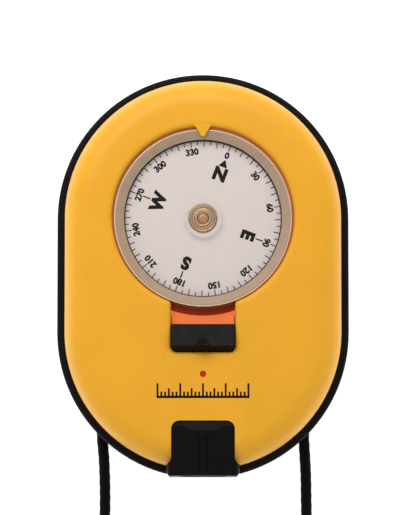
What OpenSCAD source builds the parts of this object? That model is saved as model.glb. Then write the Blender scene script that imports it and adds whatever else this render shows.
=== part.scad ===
// Hand-bearing compass: an oblong two-shell case, a liquid-filled capsule with a turning
// card, a sighting tunnel that reads the card's edge, and a neck cord.
// It lies on its back. X is to the right, +Y is the sighting direction, Z is up.
// The origin is on the back, under the middle of the case. All sizes are in millimetres.

/* [Case] */
// Width of the case across its rim
case_w = 78; // [76:1:96]
// Length of the case from end to end
case_l = 108.4; // [106:0.1:132]
// Height of the flat top face above the back
top_z = 19.6; // [19:0.1:24]
// Radius of the soft shoulder around the top face
shoulder_r = 7; // [4:0.5:7.5]
// Thickness of the shells' side walls
wall = 2.2; // [1.6:0.1:2.7]
// Thickness of the floor and of the top plate
plate = 2; // [1.4:0.1:2.4]
// Width of the black rim band seen around the upper shell
rim_w = 2.1; // [1.2:0.1:2.3]
// Height of the rim band's upper edge
rim_z = 10.5; // [9.8:0.1:11]
// Height of the rim band itself
rim_h = 3.5; // [2.4:0.1:4.2]
// How far the rim band stands out from the lower shell's flank
rim_step = 1.4; // [0.8:0.1:1.8]
// Thickness of the seal between the shells
seal_t = 0.5; // [0.3:0.1:0.8]

/* [Screws] */
// Shank radius of the case screws
screw_r = 1.1; // [0.9:0.1:1.3]
// Head radius of the case screws
screw_head_r = 2.2; // [1.8:0.1:2.4]
// Length of the case screws from head to tip
screw_l = 14; // [12:0.5:15]
// Radius of the bosses that the screws pass through
boss_r = 2.9; // [2.7:0.1:3.1]

/* [Capsule] */
// Outer radius of the capsule
capsule_r = 23.7; // [21:0.1:25]
// Height of the capsule
capsule_h = 12; // [11.6:0.1:13]
// How far the capsule's top lies below the top face
capsule_sink = 0.8; // [0.4:0.1:1]
// Wall thickness of the capsule
capsule_wall = 0.9; // [0.7:0.1:1.2]
// Thickness of the capsule's lid and of its floor
lid_t = 1.2; // [1:0.1:1.4]
// Width of the capsule's holding flange
flange_w = 3; // [1.2:0.1:3.4]
// Thickness of the orange light ring and of the gasket inside it
light_t = 1; // [0.8:0.1:1.4]
// Width of the gasket around the capsule
gasket_w = 1.9; // [1.2:0.1:2.4]
// Thickness of the rubber cushion under the capsule
cushion_t = 1; // [0.6:0.1:1.4]

/* [Card] */
// Gap from the card's skirt to the capsule wall
card_gap = 0.5; // [0.4:0.1:1]
// How much wider the skirt is at its foot than at the face
skirt_flare = 1.4; // [0.5:0.1:1.8]
// Height of the card's skirt
skirt_h = 7.1; // [6:0.1:7.3]
// Thickness of the card
card_t = 0.5; // [0.4:0.1:0.6]
// Radius of the brass hub's flange
hub_r = 3.7; // [3:0.1:4.1]
// Direction of the card's north mark at rest, clockwise from the sighting line
north_turn = 20.8; // [0:0.1:359.9]
// Outer radius of the magnet
magnet_r = 5.5; // [5:0.1:5.9]
// Thickness of the magnet
magnet_t = 2; // [1.6:0.1:2.2]
// Radius of the trunnion pins that the magnet dips on
trunnion_r = 0.4; // [0.3:0.05:0.6]

/* [Sight] */
// Width of the sight block in the slot of the upper shell
block_w = 16.6; // [14:0.1:18]
// Length of the sight block along the sighting line
block_l = 7.1; // [6.5:0.1:8]
// Length of the slot floor between the capsule and the sight block
slot_l = 4.6; // [3.4:0.1:6]
// How far the back edge of the sight block stands above the top face
block_rise = 2; // [1:0.1:3]
// How far the sighting post stands above the sight block
post_rise = 2; // [1:0.1:3]
// Inner width of the sighting tunnel
tunnel_w = 12; // [9:0.5:12.5]
// Inner height of the sighting tunnel
tunnel_h = 5; // [4:0.5:6]
// Radius of the reading lens in the sight block
reading_lens_r = 2.9; // [2.4:0.1:3.2]

/* [Eyepiece] */
// Width of the eyepiece hood where it stands in the shell's notch
hood_w = 16.4; // [15:0.1:20]
// Length of the eyepiece hood
hood_l = 14.4; // [14:0.1:17]
// How far the hood's top stands above the top face
hood_rise = 1; // [0.6:0.1:2]
// How much wider the hood's foot is on each side
hood_flare = 1.5; // [0.6:0.1:1.8]
// Radius of the eye lens
eye_lens_r = 4.15; // [3.6:0.05:4.4]

/* [Neck cord] */
// Diameter of the braided neck cord
cord_d = 2.9; // [2.4:0.1:3.2]
// Distance of each cord exit from the middle line
cord_x = 27; // [24:0.5:28]
// Height of the cord exits
cord_z = 5; // [4.6:0.1:5.4]

/* [Hidden] */
$fn = 96;

// Clearances: seated pieces, running fits, the air gap around hood and block, and the
// overlap that joins two shapes of one piece
seat_gap = 0.05;
run_gap = 0.05;
air_gap = 0.2;
lap = 0.5;

// Case levels and radii
straight = case_l - case_w;
yellow_r = case_w / 2 - rim_w;
flank_r = case_w / 2 - rim_step;
cavity_r = flank_r - wall;
ledge_z = rim_z - 1.5;
seal_z = ledge_z + seal_t;
foot_round = 3;
rim_round = 0.9;
cavity_round = 1;
groove_inset = 10;
groove_w = 1;
groove_t = 0.4;

// Screw places: on a line inside each round end, a pair at the front and a pair at the back
screw_ring = case_w / 2 - 8;
front_screw_turn = 52;
rear_screw_turn = 10;
screw_points = [
    for (side = [-1, 1]) each [
        [side * screw_ring * cos(front_screw_turn), straight / 2 + screw_ring * sin(front_screw_turn)],
        [side * screw_ring * cos(rear_screw_turn), -straight / 2 - screw_ring * sin(rear_screw_turn)]
    ]
];
head_sink = 0.4;
head_t = 2;
thread_slack = 0.02;

// Capsule stack, from the top face down
capsule_y = straight / 2 - 0.5;
opening_r = capsule_r + 0.5;
opening_shift = 0.25;
collar_w = 2;
capsule_top = top_z - capsule_sink;
capsule_z = capsule_top - capsule_h;
lid_z = capsule_top - lid_t;
cup_floor_z = capsule_z + lid_t;
capsule_in_r = capsule_r - capsule_wall;
flange_top = capsule_top - 4;
flange_t = 1;
gasket_gap = 0.2;
gasket_r = capsule_r + gasket_gap + gasket_w;
light_r = capsule_r + 3.6;
slot_collar_w = 1.2;
slot_floor_z = flange_top + light_t;
seat_ring_r = capsule_r - 2;
seat_ring_w = 2;
cushion_w = 4;
spigot_w = 0.5;
spigot_h = 0.7;
guard_r = 5.2;
guard_w = 0.8;
guard_h = 0.4;
plug_r = 1;
plug_y = -16;

// Card, hub and magnet, from the lid down
face_z = lid_z - 1.4;
skirt_r = capsule_in_r - card_gap;
face_r = skirt_r - skirt_flare;
skirt_t = 0.4;
flange_rise = 0.5;
step_r = 2.4;
step_rise = 0.4;
tube_r = 1.9;
tube_bore_r = 0.9;
tube_drop = 1.6;
jewel_r = 1.2;
jewel_drop = 0.2;
jewel_dome = 0.15;
jewel_z = face_z + flange_rise - jewel_drop;
jewel_t = jewel_drop + step_rise;
yoke_t = 0.6;
yoke_z = face_z - card_t - yoke_t;
yoke_arm_t = 0.7;
yoke_arm_w = 2.4;
yoke_bar_w = 5;
arm_gap = 0.7;
dip_limit = 20;
magnet_hole_r = 2.6;
magnet_reach = magnet_r * sin(dip_limit) + magnet_t / 2 * cos(dip_limit);
magnet_z = yoke_z - magnet_reach - 0.35;
socket_l = 1.3;
pin_end = magnet_r + arm_gap + yoke_arm_t + 0.15;
needle_r = 0.35;
needle_tip_z = jewel_z + 0.35;
needle_taper = 0.95;
post_r = 1.5;
post_h = 2.8;
needle_seat = 0.6;

// Sighting line
sight_z = 12;
block_front = capsule_y - capsule_r - slot_l;
block_rear = block_front - block_l;
block_corner = 1.2;
block_lip = 0.3;
rear_slope = 1.25;
post_front = block_front - 2.3;
post_half_w = 2;
slot_half_w = block_w / 2 + air_gap;
slot_corner = block_corner + air_gap;
lens_edge = 1;
lens_seat_w = 0.4;
reading_curve = 6;
hair_r = 0.1;
hair_y = block_front - 1.5;
tunnel_t = 1.2;
rib_t = 1.6;
rib_inset = 4;

// Eyepiece
hood_inset = 0.5;
hood_end = -case_l / 2 + hood_inset;
hood_front = hood_end + hood_l;
hood_z = plate + 1;
hood_top = top_z + hood_rise;
hood_corner = 2.2;
flare_r = 2.4;
flare_drop = sqrt(pow(flare_r, 2) - pow(flare_r - hood_flare, 2));
foot_l = 2.8;
foot_half = hood_w / 2 + hood_flare;
foot_chamfer = [0.7, 1];
hood_slope_l = 2.4;
hood_lip = 0.4;
pad_half_w = 5.1;
pad_slope_w = 2;
pad_h = 0.7;
rib_x = 0.95;
rib_groove_w = 0.5;
rib_groove_y = hood_front - 4;
window_w = 12;
window_h = 9;
window_l = 6.5;
window_round = 1.5;
retainer_t = 0.8;
retainer_w = 0.6;
eye_edge = 1.2;
eye_curve = 10;
eye_bore_r = eye_lens_r - lens_seat_w;

// Pointer over the capsule's edge
pointer_tip = capsule_r - 2;
pointer_back = opening_r + 1.2;
pointer_half_w = 2;
pointer_z = capsule_top + 0.15;
pointer_tip_t = 0.3;

// Neck cord: two legs, and the rest of its length in a round two-layer coil behind the case
cord_r = cord_d / 2;
cord_bore_r = cord_r + 0.15;
guide_r = 3.2;
knot_r = 2.9;
knot_y = -straight / 2 - sqrt(pow(cavity_r - knot_r - 0.2, 2) - pow(cord_x, 2));
guide_face = knot_y - knot_r;
guide_l = 4.5;
knot_tail = 5;
left_leg = [
    [-27, -33, 5], [-27, -38, 5], [-27, -43, 5], [-26.8, -48, 4], [-26.7, -53, 2.2],
    [-26.6, -59, 1.5], [-26.6, -66, 1.5], [-26.2, -72, 1.5], [-24.8, -78, 1.5], [-22.8, -84, 1.7]
];
right_leg = [
    [27, -33, 5], [27, -38, 5], [27, -43, 5], [27.3, -48, 4], [27.6, -53, 2.2],
    [27.7, -59, 1.5], [27.7, -66, 1.5], [27, -72, 1.6], [25, -78, 2.4], [22.8, -84, 3.9]
];
coil_centre = [0, -91];
coil_out_r = 22;
coil_turns = 4.25;
tie_t = 0.35;
tie_angle = 14;
coil_in_edge = coil_out_r - coil_turns * cord_d - cord_r;
coil_out_edge = coil_out_r + cord_r;
coil_top = tie_t + 2 * cord_d;

// ---------------------------------------------------------------- shared shapes

// Half of a section, from the middle out to radius r, with its outer corners rounded
module half_section(r, z0, z1, low = 0, high = 0) {
    translate([0, z0 + low]) square([r, z1 - z0 - low - high]);
    if (low > 0) {
        translate([0, z0]) square([r - low, low]);
        translate([r - low, z0 + low]) mirror([0, 1]) quarter_disc(low);
    }
    if (high > 0) {
        translate([0, z1 - high]) square([r - high, high]);
        translate([r - high, z1 - high]) quarter_disc(high);
    }
}

// Quarter of a disc, out and up from its centre
module quarter_disc(r) {
    intersection() {
        circle(r);
        square(r);
    }
}

// Carries a half section around the case: two straight sides and two round ends
module oblong() {
    for (turn = [0, 180])
        rotate([0, 0, turn]) translate([0, straight / 2, 0]) rotate_extrude(angle = 180) children();
    rotate([90, 0, 0]) linear_extrude(straight, center = true) {
        children();
        mirror([1, 0]) children();
    }
}

// Ring with a square section, from z0 to z1
module ring(r_in, r_out, z0, z1) {
    translate([0, 0, z0]) difference() {
        cylinder(r = r_out, h = z1 - z0);
        translate([0, 0, -1]) cylinder(r = r_in, h = z1 - z0 + 2);
    }
}

// Moves a shape to the capsule's axis
module at_capsule() {
    translate([0, capsule_y, 0]) children();
}

// Moves a shape to the axis of the upper shell's opening, a little forward of the capsule
module at_opening() {
    translate([0, capsule_y + opening_shift, 0]) children();
}

// Turns a shape with the card
module on_card() {
    at_capsule() rotate([0, 0, -north_turn]) children();
}

// Round bar along -Y, from y down to y - l, on a sighting line at height z
module bar_y(r, l, y, x = 0, z = sight_z) {
    translate([x, y, z]) rotate([90, 0, 0]) cylinder(r = r, h = l);
}

// Extrudes a section drawn as (y, z) across a width w
module across(w) {
    rotate([90, 0, 90]) linear_extrude(w, center = true) children();
}

// Box on the middle line from y0 forward to y1 and from z0 up to z1
module mid_box(w, y0, y1, z0, z1) {
    translate([-w / 2, y0, z0]) cube([w, y1 - y0, z1 - z0]);
}

// Rounds the two rear corners of a plain rectangle that ends at y0
module rear_rounded(half_w, y0, y1, r) {
    translate([-half_w, y0 + r]) square([2 * half_w, y1 - y0 - r]);
    translate([-half_w + r, y0]) square([2 * (half_w - r), r]);
    for (side = [-1, 1])
        translate([side * (half_w - r), y0 + r]) circle(r);
}

// Flat-backed lens with its flat at z = 0, a plain edge, and a curved face of radius cap_r
module lens(r, cap_r, edge, curve) {
    cylinder(r = r, h = edge);
    intersection() {
        translate([0, 0, edge / 2]) cylinder(r = cap_r, h = curve);
        translate([0, 0, edge - sqrt(pow(curve, 2) - pow(cap_r, 2))]) sphere(curve);
    }
}

// ---------------------------------------------------------------- case

// Plan of the hood: a column with rounded front corners that flares into its foot
module hood_column(grow = 0) {
    half = hood_w / 2 + grow;
    front = hood_front + grow;
    foot_top = hood_end + foot_l + grow;
    translate([-half, foot_top - lap]) square([2 * half, front - hood_corner - foot_top + lap]);
    translate([-half + hood_corner, front - 2 * hood_corner])
        square([2 * (half - hood_corner), 2 * hood_corner]);
    for (side = [0, 1]) mirror([side, 0]) {
        translate([half - hood_corner, front - hood_corner]) circle(hood_corner);
        difference() {
            translate([half - lap, foot_top - lap]) square([hood_flare + lap, flare_drop + lap]);
            translate([half + flare_r, foot_top + flare_drop]) circle(flare_r);
        }
    }
}

// Plan of the hood's foot, with its outer corners cut
module hood_foot() {
    top = hood_end + foot_l;
    cut = foot_chamfer;
    polygon([
        [-foot_half + cut.x, hood_end], [foot_half - cut.x, hood_end], [foot_half, hood_end + cut.y],
        [foot_half, top], [-foot_half, top], [-foot_half, hood_end + cut.y]
    ]);
}

// Cut in the shells that the hood stands in
module hood_notch(z0) {
    translate([0, 0, z0]) linear_extrude(hood_top) {
        hood_column(air_gap);
        translate([-foot_half - air_gap, hood_end - lap])
            square([2 * (foot_half + air_gap), foot_l + lap + air_gap]);
    }
}

module upper_shell() {
    color("gold") {
        difference() {
            union() {
                difference() {
                    oblong() half_section(yellow_r, seal_z, top_z, 0, shoulder_r);
                    oblong() half_section(yellow_r - wall, seal_z - lap, top_z - plate, 0, shoulder_r - plate);
                }
                at_opening() ring(opening_r, opening_r + collar_w, slot_floor_z, top_z - lap);
                translate([0, 0, slot_floor_z]) linear_extrude(top_z - lap - slot_floor_z)
                    rear_rounded(slot_half_w + slot_collar_w, block_rear - air_gap - slot_collar_w,
                                 block_front, slot_corner + slot_collar_w);
                for (p = screw_points)
                    translate([p.x, p.y, ledge_z + seat_gap]) cylinder(r = boss_r, h = top_z - plate - ledge_z);
            }
            at_opening() translate([0, 0, slot_floor_z - lap]) cylinder(r = opening_r, h = top_z);
            translate([0, 0, slot_floor_z - lap]) linear_extrude(top_z)
                rear_rounded(slot_half_w, block_rear - air_gap, capsule_y, slot_corner);
            hood_notch(hood_z);
            for (p = screw_points)
                translate([p.x, p.y, ledge_z - lap])
                    cylinder(r = screw_r + thread_slack, h = head_sink + head_t + screw_l - ledge_z + 2 * lap);
        }
        at_capsule() intersection() {
            linear_extrude(top_z) polygon([
                [-pointer_half_w, pointer_back], [-0.4, pointer_tip],
                [0.4, pointer_tip], [pointer_half_w, pointer_back]
            ]);
            across(2 * pointer_half_w) polygon([
                [pointer_tip, pointer_z], [pointer_back, pointer_z], [pointer_back, top_z],
                [opening_r, top_z], [pointer_tip, pointer_z + pointer_tip_t]
            ]);
        }
    }
}

module lower_shell() {
    color([0.1, 0.1, 0.1]) difference() {
        union() {
            difference() {
                union() {
                    oblong() half_section(flank_r, 0, rim_z - rim_round, foot_round, 0);
                    oblong() half_section(case_w / 2, rim_z - rim_h, rim_z, rim_round, rim_round);
                }
                oblong() half_section(cavity_r, plate, rim_z, cavity_round, 0);
                oblong() half_section(yellow_r + seat_gap, ledge_z, rim_z + lap);
                oblong() translate([case_w / 2 - groove_inset - groove_w, -lap])
                    square([groove_w, groove_t + lap]);
            }
            at_capsule() ring(seat_ring_r - seat_ring_w, seat_ring_r, plate - lap, capsule_z - cushion_t);
            for (p = screw_points)
                translate([p.x, p.y, plate - lap]) cylinder(r = boss_r, h = ledge_z - plate + lap);
            for (y = [block_rear - rib_inset, hood_front + rib_inset])
                mid_box(tunnel_w + 2 * tunnel_t, y - rib_t / 2, y + rib_t / 2, plate - lap,
                        sight_z - tunnel_h / 2 - tunnel_t);
            mid_box(hood_w - 4, hood_end + foot_l + 2, hood_front - 1, plate - lap, hood_z);
            for (side = [-1, 1]) intersection() {
                bar_y(guide_r, guide_l, guide_face, side * cord_x, cord_z);
                oblong() half_section(flank_r - wall / 2, 0, ledge_z);
            }
        }
        hood_notch(hood_z);
        for (side = [-1, 1])
            bar_y(cord_bore_r, case_l / 2, guide_face + lap, side * cord_x, cord_z);
        for (p = screw_points) translate([p.x, p.y, 0]) {
            translate([0, 0, -lap]) cylinder(r = screw_head_r + seat_gap, h = lap + head_sink + head_t);
            cylinder(r = screw_r + 2 * run_gap, h = ledge_z + lap);
        }
    }
}

module case_seal() {
    color([0.2, 0.2, 0.2]) difference() {
        oblong() translate([cavity_r + seat_gap, ledge_z]) square([yellow_r - cavity_r - 2 * seat_gap, seal_t]);
        hood_notch(hood_z);
    }
}

module case_screws() {
    color("silver") for (p = screw_points) translate([p.x, p.y, head_sink]) difference() {
        union() {
            cylinder(r = screw_head_r, h = head_t);
            cylinder(r = screw_r, h = head_t + screw_l);
        }
        for (turn = [0, 90]) rotate([0, 0, turn]) translate([-1.2, -0.25, -lap]) cube([2.4, 0.5, lap + 0.9]);
    }
}

// ---------------------------------------------------------------- capsule

module light_ring() {
    color([0.95, 0.45, 0.15]) at_capsule() translate([0, 0, flange_top]) linear_extrude(light_t) difference() {
        union() {
            circle(light_r);
            translate([-block_w / 2, block_front + seat_gap - capsule_y])
                square([block_w, capsule_y - block_front - seat_gap]);
        }
        circle(gasket_r + seat_gap);
    }
}

module capsule_gasket() {
    color([0.4, 0.12, 0.06]) at_capsule()
        ring(gasket_r - gasket_w, gasket_r, flange_top, flange_top + light_t);
}

module capsule_dome() {
    color([0.85, 0.9, 0.92, 0.4]) at_capsule() {
        rotate_extrude() half_section(capsule_r, lid_z, capsule_top, 0, 0.4);
        ring(capsule_in_r - seat_gap - spigot_w, capsule_in_r - seat_gap, lid_z - spigot_h, lid_z + lap);
        ring(guard_r - guard_w, guard_r, lid_z - guard_h, lid_z + lap);
    }
}

module capsule_cup() {
    color([0.85, 0.9, 0.92, 0.4]) at_capsule() difference() {
        union() {
            translate([0, 0, capsule_z]) cylinder(r = capsule_r, h = lid_t);
            ring(capsule_in_r, capsule_r, capsule_z, lid_z);
            ring(capsule_r - capsule_wall / 2, capsule_r + flange_w, flange_top - flange_t, flange_top);
            translate([0, 0, capsule_z]) cylinder(r = post_r, h = post_h);
        }
        translate([0, 0, capsule_z + needle_seat]) cylinder(r = needle_r, h = post_h);
        translate([0, plug_y, capsule_z - lap]) cylinder(r = plug_r, h = lid_t + 2 * lap);
    }
}

module capsule_cushion() {
    color([0.15, 0.15, 0.15]) at_capsule()
        ring(seat_ring_r - cushion_w, seat_ring_r + 0.5, capsule_z - cushion_t, capsule_z);
}

module fill_plug() {
    color("white") at_capsule() translate([0, plug_y, capsule_z]) cylinder(r = plug_r, h = lid_t);
}

module pivot_needle() {
    foot = capsule_z + needle_seat;
    color("silver") at_capsule() translate([0, 0, foot]) {
        cylinder(r = needle_r, h = needle_tip_z - needle_taper - foot);
        translate([0, 0, needle_tip_z - needle_taper - foot])
            cylinder(r1 = needle_r, r2 = 0.03, h = needle_taper);
    }
}

// ---------------------------------------------------------------- card

module compass_card() {
    color("white") on_card() rotate_extrude() polygon([
        [tube_r + seat_gap, face_z - card_t], [tube_r + seat_gap, face_z], [face_r, face_z],
        [skirt_r, face_z - skirt_h], [skirt_r - skirt_t, face_z - skirt_h], [face_r - skirt_t, face_z - card_t]
    ]);
}

module card_hub() {
    color("goldenrod") on_card() difference() {
        union() {
            translate([0, 0, face_z - tube_drop]) cylinder(r = tube_r, h = tube_drop + flange_rise);
            translate([0, 0, face_z]) cylinder(r = hub_r, h = flange_rise);
            translate([0, 0, face_z]) cylinder(r = step_r, h = flange_rise + step_rise);
        }
        translate([0, 0, face_z - tube_drop - lap]) cylinder(r = tube_bore_r, h = tube_drop + step_r);
        translate([0, 0, jewel_z]) cylinder(r = jewel_r, h = jewel_t + lap);
    }
}

module hub_jewel() {
    color([0.8, 0.35, 0.35]) on_card() translate([0, 0, jewel_z]) difference() {
        union() {
            cylinder(r = jewel_r, h = jewel_t);
            translate([0, 0, jewel_t]) cylinder(r1 = jewel_r, r2 = jewel_r / 2, h = jewel_dome);
        }
        cylinder(r1 = 0.6, r2 = 0.05, h = needle_tip_z - jewel_z + 0.1);
    }
}

module magnet_yoke() {
    arm_x = magnet_r + arm_gap;
    color("goldenrod") on_card() difference() {
        union() {
            translate([-arm_x - yoke_arm_t, -yoke_bar_w / 2, yoke_z])
                cube([2 * (arm_x + yoke_arm_t), yoke_bar_w, yoke_t]);
            for (side = [-1, 1]) translate([side * (arm_x + yoke_arm_t / 2), 0, 0]) {
                translate([-yoke_arm_t / 2, -yoke_arm_w / 2, magnet_z])
                    cube([yoke_arm_t, yoke_arm_w, yoke_z + yoke_t - magnet_z]);
                translate([0, 0, magnet_z]) rotate([0, 90, 0])
                    cylinder(r = yoke_arm_w / 2, h = yoke_arm_t, center = true);
            }
        }
        translate([0, 0, yoke_z - lap]) cylinder(r = tube_r + seat_gap, h = yoke_t + 2 * lap);
        translate([0, 0, magnet_z]) rotate([0, 90, 0])
            cylinder(r = trunnion_r + run_gap, h = 2 * pin_end, center = true);
    }
}

module dip_magnet() {
    color([0.35, 0.35, 0.38]) on_card() difference() {
        ring(magnet_hole_r, magnet_r, magnet_z - magnet_t / 2, magnet_z + magnet_t / 2);
        for (side = [0, 180]) rotate([0, 0, side]) translate([magnet_r - socket_l, 0, magnet_z])
            rotate([0, 90, 0]) cylinder(r = trunnion_r, h = 2 * socket_l);
    }
}

module magnet_trunnions() {
    color("silver") on_card() for (side = [0, 180]) rotate([0, 0, side])
        translate([magnet_r - socket_l, 0, magnet_z]) rotate([0, 90, 0])
            cylinder(r = trunnion_r, h = pin_end - magnet_r + socket_l);
}

// ---------------------------------------------------------------- sighting line

module sight_block() {
    crest = block_rear + rear_slope;
    color([0.12, 0.12, 0.12]) difference() {
        union() {
            intersection() {
                translate([0, 0, plate]) linear_extrude(top_z + block_rise)
                    rear_rounded(block_w / 2, block_rear, block_front, block_corner);
                across(block_w) polygon([
                    [block_front, plate], [block_front, top_z - block_lip], [crest, top_z + block_rise],
                    [block_rear, top_z + block_lip], [block_rear, plate]
                ]);
            }
            intersection() {
                linear_extrude(2 * top_z)
                    polygon([[0, post_front], [-post_half_w, crest], [post_half_w, crest]]);
                across(block_w) polygon([
                    [post_front, top_z], [crest, top_z], [crest, top_z + block_rise + post_rise]
                ]);
            }
        }
        mid_box(tunnel_w, block_rear + lens_edge + 2, block_front + lap, sight_z - tunnel_h / 2, sight_z + tunnel_h / 2);
        bar_y(reading_lens_r - lens_seat_w, block_l + 2 * lap, block_front + lap);
        bar_y(reading_lens_r + seat_gap, lens_edge + lap, block_rear + lens_edge);
    }
}

module reading_lens() {
    color([0.8, 0.9, 0.95, 0.5]) translate([0, block_rear, sight_z]) rotate([-90, 0, 0])
        lens(reading_lens_r, reading_lens_r - lens_seat_w - seat_gap, lens_edge, reading_curve);
}

module index_hair() {
    color("black") translate([0, hair_y, sight_z - tunnel_h / 2]) cylinder(r = hair_r, h = tunnel_h);
}

module sight_tunnel() {
    color([0.15, 0.15, 0.15]) difference() {
        mid_box(tunnel_w + 2 * tunnel_t, hood_front + seat_gap, block_rear - seat_gap,
                sight_z - tunnel_h / 2 - tunnel_t, sight_z + tunnel_h / 2 + tunnel_t);
        mid_box(tunnel_w, hood_front - lap, block_rear + lap, sight_z - tunnel_h / 2, sight_z + tunnel_h / 2);
    }
}

// ---------------------------------------------------------------- eyepiece

module eyepiece_hood() {
    pocket = hood_end + window_l;
    color([0.1, 0.1, 0.1]) difference() {
        intersection() {
            translate([0, 0, hood_z]) linear_extrude(hood_top) {
                hood_column();
                hood_foot();
            }
            translate([0, hood_front, 0]) rotate([90, 0, 0]) linear_extrude(hood_l) for (side = [0, 1])
                mirror([side, 0]) {
                    half_section(foot_half, hood_z, hood_top - pad_h, 0.5, 2);
                    polygon([[0, hood_top - 2], [pad_half_w, hood_top - 2], [pad_half_w, hood_top - pad_h],
                             [pad_half_w - pad_slope_w, hood_top], [0, hood_top]]);
                }
            across(2 * foot_half) polygon([
                [hood_front, hood_z], [hood_front, top_z - hood_lip], [hood_front - hood_slope_l, hood_top],
                [hood_end + 0.5, hood_top], [hood_end, hood_top - 0.5], [hood_end, hood_z]
            ]);
        }
        for (side = [-1, 1])
            translate([side * rib_x - rib_groove_w / 2, hood_end + 1, hood_top - 0.5])
                cube([rib_groove_w, rib_groove_y - hood_end - 1, 1]);
        translate([0, pocket, sight_z]) rotate([90, 0, 0]) linear_extrude(window_l + lap) {
            square([window_w, window_h - 2 * window_round], center = true);
            square([window_w - 2 * window_round, window_h], center = true);
            for (x = [-1, 1], z = [-1, 1])
                translate([x * (window_w / 2 - window_round), z * (window_h / 2 - window_round)])
                    circle(window_round);
        }
        bar_y(eye_lens_r + seat_gap, eye_edge + retainer_t + lap, pocket + eye_edge + retainer_t);
        bar_y(eye_bore_r, hood_l, hood_front + lap);
    }
}

module eye_lens() {
    color([0.8, 0.9, 0.95, 0.5]) translate([0, hood_end + window_l + retainer_t, sight_z]) rotate([-90, 0, 0])
        lens(eye_lens_r, eye_bore_r - seat_gap, eye_edge, eye_curve);
}

module lens_retainer() {
    color([0.2, 0.2, 0.2]) translate([0, hood_end + window_l, sight_z]) rotate([-90, 0, 0])
        ring(eye_lens_r - retainer_w, eye_lens_r, 0, retainer_t);
}

// ---------------------------------------------------------------- neck cord

function unit(v) = v / norm(v);
// Direction of a route at its point i: along its neighbours
function heading(route, i) =
    unit(route[min(i + 1, len(route) - 1)] - route[max(i - 1, 0)]);
// Eight points around point i of a route, square to its heading
function cord_ring(route, i) = let (
    along = heading(route, i),
    side = unit(cross(along, [0, 0, 1])),
    up = cross(side, along)
) [for (k = [0:7]) route[i] + cord_r * (cos(45 * k) * side + sin(45 * k) * up)];

// Tube swept along a route, one ring of eight points at each of its points
module cord_tube(route) {
    n = len(route);
    polyhedron(
        points = [for (i = [0:n - 1]) each cord_ring(route, i)],
        faces = [
            [for (k = [0:7]) k],
            for (i = [0:n - 2], k = [0:7])
                [8 * i + k, 8 * (i + 1) + k, 8 * (i + 1) + (k + 1) % 8, 8 * i + (k + 1) % 8],
            [for (k = [7:-1:0]) 8 * (n - 1) + k]
        ]
    );
}

// Section of the coil, grown outwards for the tie around it
module coil_section(grow = 0) {
    r = cord_r + grow;
    x0 = coil_in_edge - grow;
    x1 = coil_out_edge + grow;
    z0 = tie_t - grow;
    z1 = coil_top + grow;
    translate([x0 + r, z0]) square([x1 - x0 - 2 * r, z1 - z0]);
    translate([x0, z0 + r]) square([x1 - x0, z1 - z0 - 2 * r]);
    for (x = [x0 + r, x1 - r], z = [z0 + r, z1 - r])
        translate([x, z]) circle(r);
}

module lanyard_left() {
    color([0.08, 0.08, 0.08]) cord_tube(left_leg);
}

module lanyard_right() {
    color([0.08, 0.08, 0.08]) cord_tube(right_leg);
}

module lanyard_knots() {
    color([0.08, 0.08, 0.08]) for (side = [-1, 1]) {
        translate([side * cord_x, knot_y, cord_z]) sphere(knot_r);
        bar_y(cord_r, knot_tail, knot_y + knot_tail, side * cord_x, cord_z);
    }
}

module lanyard_coil() {
    color([0.08, 0.08, 0.08]) translate(coil_centre) rotate_extrude() coil_section();
}

module coil_tie() {
    color([0.3, 0.3, 0.3]) translate(coil_centre) rotate([0, 0, -90 - tie_angle / 2])
        rotate_extrude(angle = tie_angle) difference() {
            coil_section(tie_t);
            coil_section();
        }
}

upper_shell();
lower_shell();
case_seal();
case_screws();
light_ring();
capsule_gasket();
capsule_dome();
capsule_cup();
capsule_cushion();
fill_plug();
pivot_needle();
sight_block();
reading_lens();
index_hair();
sight_tunnel();
eyepiece_hood();
eye_lens();
lens_retainer();
compass_card();
card_hub();
hub_jewel();
magnet_yoke();
dip_magnet();
magnet_trunnions();
lanyard_left();
lanyard_right();
lanyard_knots();
lanyard_coil();
coil_tie();
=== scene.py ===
# %% [markdown]
# # A hand-bearing geology compass, piece by piece
# A geologist holds this compass to the eye, looks through the black eyepiece at the turning card,
# and reads the bearing of a slope or a far hill. It is an oblong case of two moulded shells, a clear
# capsule with a floating card, a sighting block and a neck cord.
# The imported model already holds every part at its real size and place. This lesson gives those parts
# their finish, and makes the softer, finer surfaces that a working model leaves out.
# Every size below is in millimetres, and becomes metres only where a mesh is filled.

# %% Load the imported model
import math

import bmesh
import bpy
import numpy as np
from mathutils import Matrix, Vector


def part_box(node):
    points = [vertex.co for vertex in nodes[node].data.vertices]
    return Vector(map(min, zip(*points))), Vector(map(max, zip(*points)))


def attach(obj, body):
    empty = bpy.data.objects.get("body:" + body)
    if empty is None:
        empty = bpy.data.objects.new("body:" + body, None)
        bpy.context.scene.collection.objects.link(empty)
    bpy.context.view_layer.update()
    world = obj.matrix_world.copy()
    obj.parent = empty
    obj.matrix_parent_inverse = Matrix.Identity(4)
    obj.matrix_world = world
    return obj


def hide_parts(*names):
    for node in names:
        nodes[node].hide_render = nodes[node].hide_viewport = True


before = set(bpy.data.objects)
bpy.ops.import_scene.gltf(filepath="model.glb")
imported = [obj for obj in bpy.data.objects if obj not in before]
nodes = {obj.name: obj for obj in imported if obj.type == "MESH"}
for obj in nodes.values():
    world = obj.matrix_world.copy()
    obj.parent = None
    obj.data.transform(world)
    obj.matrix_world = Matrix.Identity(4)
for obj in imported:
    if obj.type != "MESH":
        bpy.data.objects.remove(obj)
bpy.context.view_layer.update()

MM = 0.001

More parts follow.
